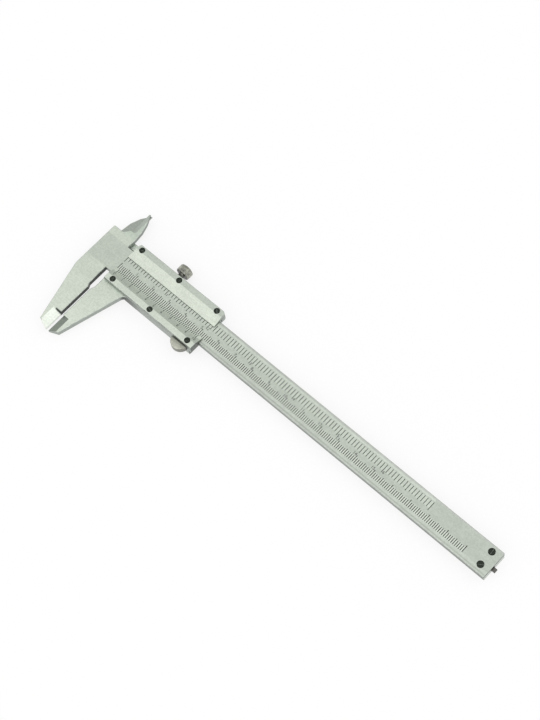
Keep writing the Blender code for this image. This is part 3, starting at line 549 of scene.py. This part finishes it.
def thumb_metal():
    """The thumb rest's warm nickel, with painted shade that deepens towards the rail and a painted shadow
    line where it joins it.
    """
    low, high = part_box("thumb_rest")
    tone = ("Y", (low.y, high.y), THUMB_COLOUR, THUMB_SHADED_TOP_COLOUR)
    return satin_metal("satin_nickel", tone, SMALL_ROUGHNESS, THUMB_GRAIN, THUMB_MOTTLE, layers=[
        (THUMB_EDGE_SHADE_COLOUR, {"flat": (SIDES[0], RIMS[1])}),
        (JOINT_SHADOW_COLOUR, {"Y": (high.y - THUMB_JOINT, FAR)}),
    ])


def node_body(name):
    """The body that a solid belongs to."""
    groups = frame["record"]["behaviour"]["bodies"]
    return next(body for body, members in groups.items() if name in members)


def settle(piece, body):
    """Put a piece in the scene, on its body."""
    bpy.context.scene.collection.objects.link(piece)
    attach(piece, body)


def stand_for(name, mesh, material):
    """A piece that is shown in a solid's place, with its round faces smooth and its edges sharp."""
    mesh.materials.clear()
    mesh.materials.append(material)
    mesh.shade_smooth()
    mesh.set_sharp_from_angle(angle=SHARP_ANGLE)
    piece = bpy.data.objects.new(name + "_finish", mesh)
    settle(piece, node_body(name))
    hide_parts(name)


def smooth_copy(name, material):
    """A solid's own shape, welded so that its round faces shade smoothly."""
    mesh = frame["nodes"][name].data.copy()
    mesh.attributes.remove(mesh.attributes["custom_normal"])
    work = bmesh.new()
    work.from_mesh(mesh)
    bmesh.ops.remove_doubles(work, verts=work.verts, dist=WELD)
    work.to_mesh(mesh)
    work.free()
    stand_for(name, mesh, material)


def dress(name, material):
    """A solid whose flat faces are right as they are, with its finish."""
    frame["nodes"][name].material_slots[0].material = material


def turned(profile, steps):
    """A closed mesh from (radius, height) points, top to bottom, turned about Z."""
    work = bmesh.new()
    angles = [2 * math.pi * i / steps for i in range(steps)]
    rings = []
    for radius, height in profile:
        if radius == 0:
            rings.append([work.verts.new((0, 0, height))])
            continue
        circle = [(radius * math.cos(angle), radius * math.sin(angle), height) for angle in angles]
        rings.append([work.verts.new(point) for point in circle])
    for upper, lower in zip(rings, rings[1:]):
        for i in range(steps):
            j = (i + 1) % steps
            corners = ((upper, i), (lower, i), (lower, j), (upper, j))
            around = [ring[place % len(ring)] for ring, place in corners]
            work.faces.new(list(dict.fromkeys(around)))
    bmesh.ops.recalc_face_normals(work, faces=work.faces)
    mesh = bpy.data.meshes.new("turned")
    work.to_mesh(mesh)
    work.free()
    return mesh


def cut_slot(mesh, width, top):
    """The mesh of a screw with a slot across its top, cut by a blade that is centred on the top."""
    blank = bpy.data.objects.new("blank", mesh)
    work = bmesh.new()
    size = Matrix.Diagonal((2 * width, SLOT_WIDTH, 2 * SLOT_DEPTH, 1))
    bmesh.ops.create_cube(work, size=1.0, matrix=Matrix.Translation((0, 0, top)) @ size)
    blade = bpy.data.objects.new("blade", bpy.data.meshes.new("blade"))
    work.to_mesh(blade.data)
    work.free()
    for item in (blank, blade):
        bpy.context.scene.collection.objects.link(item)
    cut = blank.modifiers.new("slot", "BOOLEAN")
    cut.operation = "DIFFERENCE"
    cut.solver = "EXACT"
    cut.object = blade
    graph = bpy.context.evaluated_depsgraph_get()
    finished = bpy.data.meshes.new_from_object(blank.evaluated_get(graph))
    bpy.data.objects.remove(blank)
    bpy.data.objects.remove(blade)
    return finished


def slotted_screw(name, turn, material):
    """A finely turned screw in a solid's place."""
    low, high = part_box(name)
    centre = (low + high) / 2
    radius = (high.x - low.x) / 2
    bend = [math.pi / 2 * i / SCREW_RIM_STEPS for i in range(SCREW_RIM_STEPS + 1)]
    flat = radius - SCREW_RIM
    rim = [(flat + SCREW_RIM * math.sin(a), high.z - SCREW_RIM * (1 - math.cos(a))) for a in bend]
    seat = high.z - SCREW_HEAD_HEIGHT
    shank = SCREW_SHANK / 2
    profile = [(0, high.z - SCREW_DISH), *rim, (radius, seat), (shank, seat), (shank, low.z), (0, low.z)]
    mesh = cut_slot(turned(profile, SCREW_STEPS), radius, high.z)
    place = Matrix.Translation((centre.x, centre.y, 0))
    mesh.transform(place @ Matrix.Rotation(math.radians(turn), 4, "Z"))
    stand_for(name, mesh, material)


class Plane:
    """A face that marks are engraved on: its place, and the mesh of its marks."""

    def __init__(self, origin, up):
        along = Vector((1, 0, 0))
        upward = Vector(up).normalized()
        outward = along.cross(upward)
        self.place = Matrix.Translation(origin) @ Matrix((along, upward, outward)).transposed().to_4x4()
        self.work = bmesh.new()

    def line(self, u, low, high, width):
        """A straight mark across the scale."""
        centre = Vector((u, (low + high) / 2, (MARK_PROUD - MARK_SUNK) / 2))
        size = Matrix.Diagonal((width, abs(high - low), MARK_PROUD + MARK_SUNK, 1))
        spot = self.place @ Matrix.Translation(centre) @ size
        bmesh.ops.create_cube(self.work, size=1.0, matrix=spot)

    def numeral(self, value, u, floor, height, side):
        """A plain number that stands left of, on or right of a place."""
        words = bpy.data.curves.new("numeral", "FONT")
        words.body = str(value)
        words.align_x = side
        words.extrude = (MARK_PROUD + MARK_SUNK) / 2
        words.resolution_u = NUMERAL_RESOLUTION
        blank = bpy.data.objects.new("numeral", words)
        bpy.context.scene.collection.objects.link(blank)
        graph = bpy.context.evaluated_depsgraph_get()
        mesh = bpy.data.meshes.new_from_object(blank.evaluated_get(graph))
        bpy.data.objects.remove(blank)
        size = height / max(vertex.co.y for vertex in mesh.vertices)
        spot = Matrix.Translation((u, floor, (MARK_PROUD - MARK_SUNK) / 2))
        mesh.transform(self.place @ spot @ Matrix.Diagonal((size, size, 1, 1)))
        self.work.from_mesh(mesh)
        bpy.data.meshes.remove(mesh)

    def finish(self, name, body, material):
        """The marks as one piece on a body."""
        bmesh.ops.remove_doubles(self.work, verts=self.work.verts, dist=MARK_WELD)
        mesh = bpy.data.meshes.new(name)
        self.work.to_mesh(mesh)
        self.work.free()
        mesh.materials.append(material)
        settle(bpy.data.objects.new(name, mesh), body)


def rank(index, steps):
    """The value of the first step in a table, largest first, that divides an index."""
    return next(value for step, value in steps.items() if index % step == 0)


def engrave_beam(material):
    """Millimetres below and sixteenths of an inch above, both from one zero, with plain numbers between."""
    face = Plane((zero, middle, beam_high.z), (0, 1, 0))
    for index in range(MM_COUNT + 1):
        face.line(index * MILLIMETRE, MM_ROW, rank(index, MM_TOPS), MM_MARK_WIDTH)
    for index in range(INCH_COUNT * INCH_PARTS + 1):
        face.line(index * INCH / INCH_PARTS, rank(index, INCH_BOTTOMS), INCH_ROW, INCH_MARK_WIDTH)
    for number in range(1, LAST_CENTIMETRE + 1):
        u = number * CENTIMETRE - NUMERAL_GAP
        face.numeral(number, u, CENTIMETRE_FLOOR, NUMERAL_HEIGHT, "RIGHT")
    for number in range(1, LAST_INCH + 1):
        u = number * INCH + NUMERAL_GAP
        face.numeral(number, u, INCH_FLOOR, NUMERAL_HEIGHT, "LEFT")
    face.finish("beam_scale_marks", "beam", material)


def bevel_plane(name, thin_edge_is_low, start):
    """The thin edge of a vernier plate's bevel, at the vernier's zero, and the way up the bevel."""
    plate = frame["nodes"][name].data.vertices
    low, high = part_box(name)
    top = [vertex.co.y for vertex in plate if vertex.co.z > high.z - WELD]
    edge_y, ridge_y = (low.y, min(top)) if thin_edge_is_low else (high.y, max(top))
    edge_z = max(vertex.co.z for vertex in plate if abs(vertex.co.y - edge_y) < WELD)
    return Vector((low.x + start, edge_y, edge_z)), Vector((0, ridge_y - edge_y, high.z - edge_z))


def engrave_lower_vernier(material):
    """Fifty divisions on the lower bevel, with a plain number at every fifth."""
    edge, rise = bevel_plane("lower_vernier_plate", False, LOWER_ZERO)
    face = Plane(edge, -rise)
    for index in range(FINE_DIVISIONS + 1):
        u = index * FINE_SPAN / FINE_DIVISIONS
        face.line(u, -VERNIER_MARGIN, -rank(index, FINE_LENGTHS), FINE_MARK_WIDTH)
    floor = -max(FINE_LENGTHS.values()) - VERNIER_NUMERAL_LIFT - VERNIER_NUMERAL
    for number in range(FINE_NUMBERS + 1):
        u = number * FINE_SPAN / FINE_NUMBERS
        face.numeral(number, u, floor, VERNIER_NUMERAL, "CENTER")
    face.finish("lower_vernier_marks", "slider", material)


def engrave_upper_vernier(material):
    """Eight divisions on the upper bevel, with plain numbers at its ends and its middle."""
    edge, rise = bevel_plane("upper_vernier_plate", True, UPPER_ZERO)
    face = Plane(edge, rise)
    step = COARSE_SPAN / COARSE_DIVISIONS
    for index in range(COARSE_DIVISIONS + 1):
        face.line(index * step, VERNIER_MARGIN, rank(index, COARSE_LENGTHS), COARSE_MARK_WIDTH)
    floor = max(COARSE_LENGTHS.values()) + VERNIER_NUMERAL_LIFT
    for number in COARSE_NUMBERS:
        face.numeral(number, number * step, floor, VERNIER_NUMERAL, "CENTER")
    face.finish("upper_vernier_marks", "slider", material)


def finish_solids():
    """Each solid with its finish, as a smooth copy or as it is."""
    smooth_copy("main_beam", beam_metal())
    smooth_copy("slider_body", slider_metal())
    smooth_copy("lock_screw", lock_metal())
    smooth_copy("thumb_rest", thumb_metal())
    small = satin_metal("plain_steel", SMALL_STEEL_COLOUR, SMALL_ROUGHNESS)
    for name in ("gib_screw_1", "gib_screw_2", "depth_rod_rivet", "thumb_rest_pin"):
        smooth_copy(name, small)
    dress("upper_vernier_plate", upper_plate_metal())
    dress("lower_vernier_plate", lower_plate_metal())
    dress("end_stop_plate", end_plate_metal())
    dress("gib_strip", satin_metal("rolled_bronze", BRONZE_COLOUR, BRONZE_ROUGHNESS))
    dress("depth_rod", satin_metal("drawn_rod", ROD_COLOUR, SMALL_ROUGHNESS))


def finish_screws():
    """The black screws of the vernier plates and of the end stop, each with its slot at its own angle."""
    screws = [f"{side}_plate_screw_{number}" for side in ("upper", "lower") for number in (1, 2, 3)]
    screws += ["end_stop_screw_1", "end_stop_screw_2"]
    plate_black = black_oxide("black_plate_screws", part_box(screws[0])[1].z)
    end_black = black_oxide("black_end_screws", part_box(screws[-1])[1].z)
    for name, turn in zip(screws, SLOT_TURNS):
        slotted_screw(name, turn, end_black if name.startswith("end") else plate_black)


def floor_material():
    """A pale matt floor that glows a little where it is seen or mirrored, so that it looks nearly white."""
    made, shader = new_material("pale_floor", metallic=0.0)
    shader.inputs["Roughness"].default_value = FLOOR_ROUGHNESS
    clouds = texture(made, FLOOR_CLOUDS)
    lighter = tinted(made, FLOOR_COLOUR, FLOOR_LIFT)
    join(made, blend(made, clouds, FLOOR_COLOUR, lighter), shader, "Base Color")
    path = add_node(made, "ShaderNodeLightPath").outputs
    seen = path["Is Camera Ray"]
    for kind in ("Is Glossy Ray", "Is Transmission Ray"):
        seen = add_node(made, "ShaderNodeMath", {0: seen, 1: path[kind]}, operation="MAXIMUM").outputs[0]
    glow = add_node(made, "ShaderNodeEmission", {"Strength": GLOW_STRENGTH})
    share = product(made, seen, FLOOR_GLOW)
    both = add_node(made, "ShaderNodeMixShader", {0: share, 1: shader.outputs[0], 2: glow.outputs[0]})
    join(made, both.outputs[0], made.node_tree.nodes["Material Output"], "Surface")
    return made


def make_floor():
    """A wide floor under the part, which keeps its soft shadow."""
    work = bmesh.new()
    bmesh.ops.create_grid(work, x_segments=1, y_segments=1, size=FLOOR_SIZE / 2)
    mesh = bpy.data.meshes.new("floor")
    work.to_mesh(mesh)
    work.free()
    mesh.materials.append(floor_material())
    floor = bpy.data.objects.new("floor", mesh)
    bpy.context.scene.collection.objects.link(floor)


def make_sky():
    """A white sky that is brighter to one side, from the direction alone."""
    world = bpy.data.worlds.new("studio")
    bpy.context.scene.world = world
    world.use_nodes = True
    direction = add_node(world, "ShaderNodeTexCoord").outputs["Generated"]
    lean = add_node(world, "ShaderNodeVectorMath", {0: direction, 1: SKY_LEAN}, operation="DOT_PRODUCT")
    dim, bright = SKY_RANGE
    level = ramp(world, lean.outputs["Value"], dim, bright, SKY_LEVEL + dim, SKY_LEVEL + bright)
    background = world.node_tree.nodes["Background"]
    background.inputs["Color"].default_value = SKY_COLOUR
    join(world, level, background, "Strength")


def make_camera():
    """The photograph's viewpoint."""
    lens = bpy.data.cameras.new("camera")
    lens.lens = CAMERA_LENS
    lens.sensor_width = CAMERA_SENSOR
    camera = bpy.data.objects.new("camera", lens)
    camera.location = CAMERA_PLACE
    camera.rotation_euler = [math.radians(angle) for angle in CAMERA_TURN]
    bpy.context.scene.collection.objects.link(camera)
    bpy.context.scene.camera = camera


bpy.context.scene.view_settings.view_transform = "Standard"
finish_solids()
finish_screws()
ink = mark_ink("mark_ink", INK_COLOUR)
engrave_beam(ink)
engrave_lower_vernier(ink)
engrave_upper_vernier(mark_ink("faint_ink", FAINT_INK_COLOUR))
make_floor()
make_sky()
make_camera()
